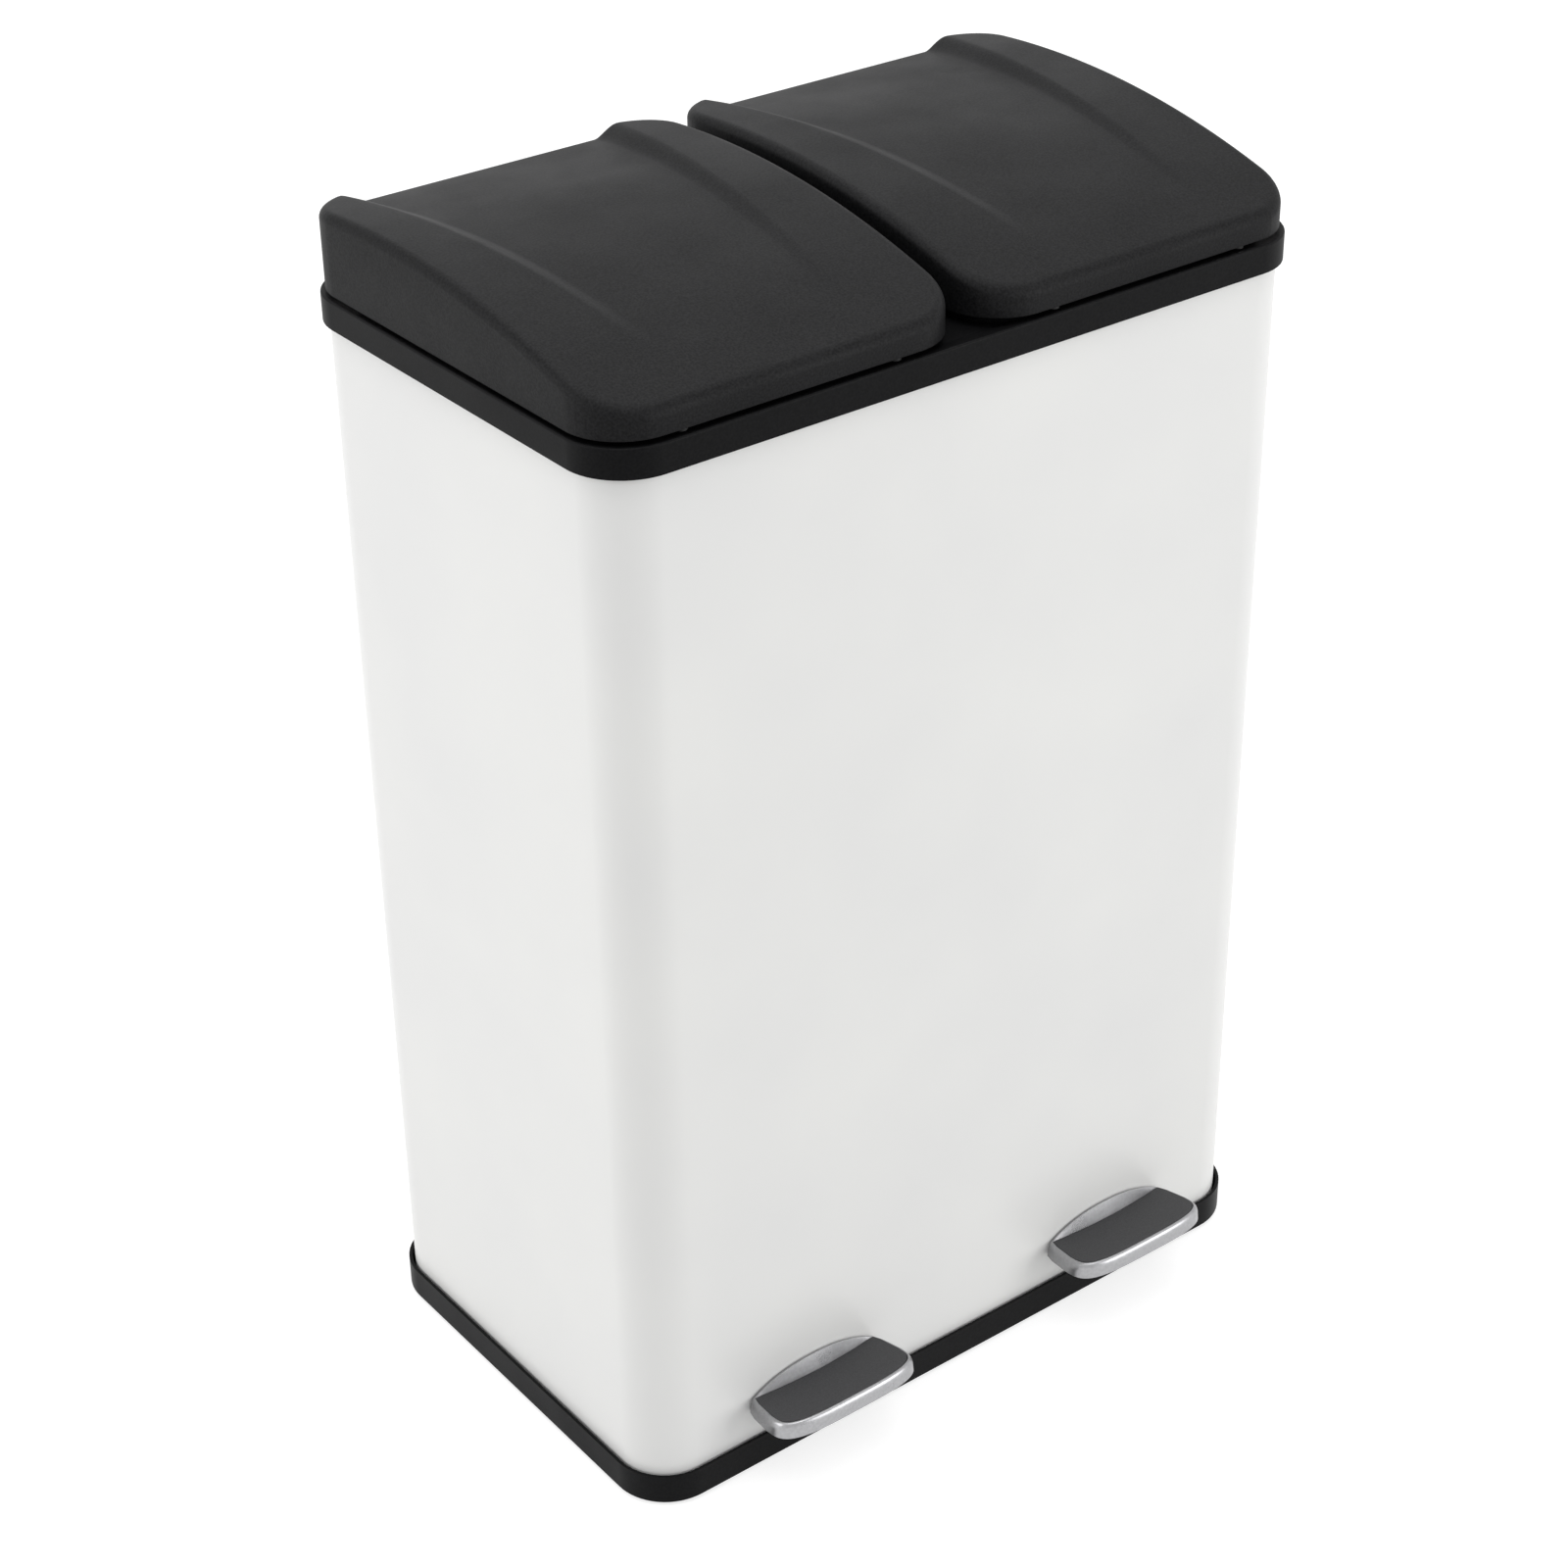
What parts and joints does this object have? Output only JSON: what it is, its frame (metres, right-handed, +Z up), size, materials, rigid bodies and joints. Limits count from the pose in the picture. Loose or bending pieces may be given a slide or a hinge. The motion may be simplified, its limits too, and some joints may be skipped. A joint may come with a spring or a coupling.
{
  "type": "double recycling bin",
  "caption": "Upright twin waste bin: rounded sleeve, dark rim and base, side-by-side crowned lids that pedals raise, lift-out buckets inside.",
  "frame": {"origin": "on the floor, under the middle of the whole outline, pedals included", "axes": "+Z up; the pedals face -Y; +X to the right, seen from the front"},
  "size_m": [0.425, 0.2986, 0.6565],
  "materials": {
    "white_enamel": "smooth satin white enamel",
    "black_plastic": "fine-grained matt",
    "grey_plastic": "smooth matt",
    "pale_acetal": "smooth, slightly waxy",
    "satin_chrome": "satin",
    "zinc_steel": "zinc-plated",
    "black_rubber": "matt",
    "grey_rubber": "matt, fine-grained"
  },
  "bodies": {
    "bin": {"body_shell": "white_enamel", "base_tray": "black_plastic", "base_feet": "black_rubber", "base_screws": "zinc_steel", "top_rim": "black_plastic", "hinge_pin_left": "zinc_steel", "hinge_pin_right": "zinc_steel", "lever_axle_left": "zinc_steel", "lever_axle_right": "zinc_steel", "axle_clips": "zinc_steel", "rod_guide_left": "pale_acetal", "rod_guide_right": "pale_acetal", "guide_screws": "zinc_steel", "rod_bush_left": "pale_acetal", "rod_bush_right": "pale_acetal"},
    "left_lid": {"lid_left": "black_plastic", "lid_cam_left": "pale_acetal", "lid_bumpers_left": "black_rubber", "cam_screws_left": "zinc_steel"},
    "left_pedal": {"pedal_cap_left": "satin_chrome", "pedal_pad_left": "grey_rubber", "pedal_lever_left": "zinc_steel", "pedal_screws_left": "zinc_steel"},
    "left_rod": {"push_rod_left": "zinc_steel", "rod_foot_left": "pale_acetal"},
    "left_bucket": {"bucket_left": "grey_plastic"},
    "left_handle": {"bucket_bail_left": "zinc_steel", "bail_grip_left": "black_plastic"},
    "right_lid": {"lid_right": "black_plastic", "lid_cam_right": "pale_acetal", "lid_bumpers_right": "black_rubber", "cam_screws_right": "zinc_steel"},
    "right_pedal": {"pedal_cap_right": "satin_chrome", "pedal_pad_right": "grey_rubber", "pedal_lever_right": "zinc_steel", "pedal_screws_right": "zinc_steel"},
    "right_rod": {"push_rod_right": "zinc_steel", "rod_foot_right": "pale_acetal"},
    "right_bucket": {"bucket_right": "grey_plastic"},
    "right_handle": {"bucket_bail_right": "zinc_steel", "bail_grip_right": "black_plastic"}
  },
  "joints": [
    {"name": "left_lid_hinge", "type": "hinge", "parent": "bin", "child": "left_lid", "pos_m": [-0.1079, 0.14025, 0.624], "axis": [-1, 0, 0], "range_deg": [0, 75]},
    {"name": "left_pedal_hinge", "type": "hinge", "parent": "bin", "child": "left_pedal", "pos_m": [-0.1045, -0.03175, 0.03], "axis": [1, 0, 0], "range_deg": [0, 8.21]},
    {"name": "left_rod_slide", "type": "slide", "parent": "bin", "child": "left_rod", "axis": [0, 0, 1], "range_m": [0, 0.02226]},
    {"name": "left_bucket_lift", "type": "slide", "parent": "bin", "child": "left_bucket", "axis": [0, 0, 1], "range_m": [0, 0.01]},
    {"name": "left_handle_hinge", "type": "hinge", "parent": "left_bucket", "child": "left_handle", "pos_m": [-0.1045, 0.00275, 0.6131], "axis": [1, 0, 0], "range_deg": [0, 14]},
    {"name": "right_lid_hinge", "type": "hinge", "parent": "bin", "child": "right_lid", "pos_m": [0.1079, 0.14025, 0.624], "axis": [-1, 0, 0], "range_deg": [0, 75]},
    {"name": "right_pedal_hinge", "type": "hinge", "parent": "bin", "child": "right_pedal", "pos_m": [0.1045, -0.03175, 0.03], "axis": [1, 0, 0], "range_deg": [0, 8.21]},
    {"name": "right_rod_slide", "type": "slide", "parent": "bin", "child": "right_rod", "axis": [0, 0, 1], "range_m": [0, 0.02226]},
    {"name": "right_bucket_lift", "type": "slide", "parent": "bin", "child": "right_bucket", "axis": [0, 0, 1], "range_m": [0, 0.01]},
    {"name": "right_handle_hinge", "type": "hinge", "parent": "right_bucket", "child": "right_handle", "pos_m": [0.1045, 0.00275, 0.6131], "axis": [1, 0, 0], "range_deg": [0, 14]}
  ],
  "couplings": [
    {"joint": "left_pedal_hinge", "follows": "left_lid_hinge", "ratio": 0.10949},
    {"joint": "left_rod_slide", "follows": "left_lid_hinge", "m_per_rad": 0.017},
    {"joint": "right_pedal_hinge", "follows": "right_lid_hinge", "ratio": 0.10949},
    {"joint": "right_rod_slide", "follows": "right_lid_hinge", "m_per_rad": 0.017}
  ]
}
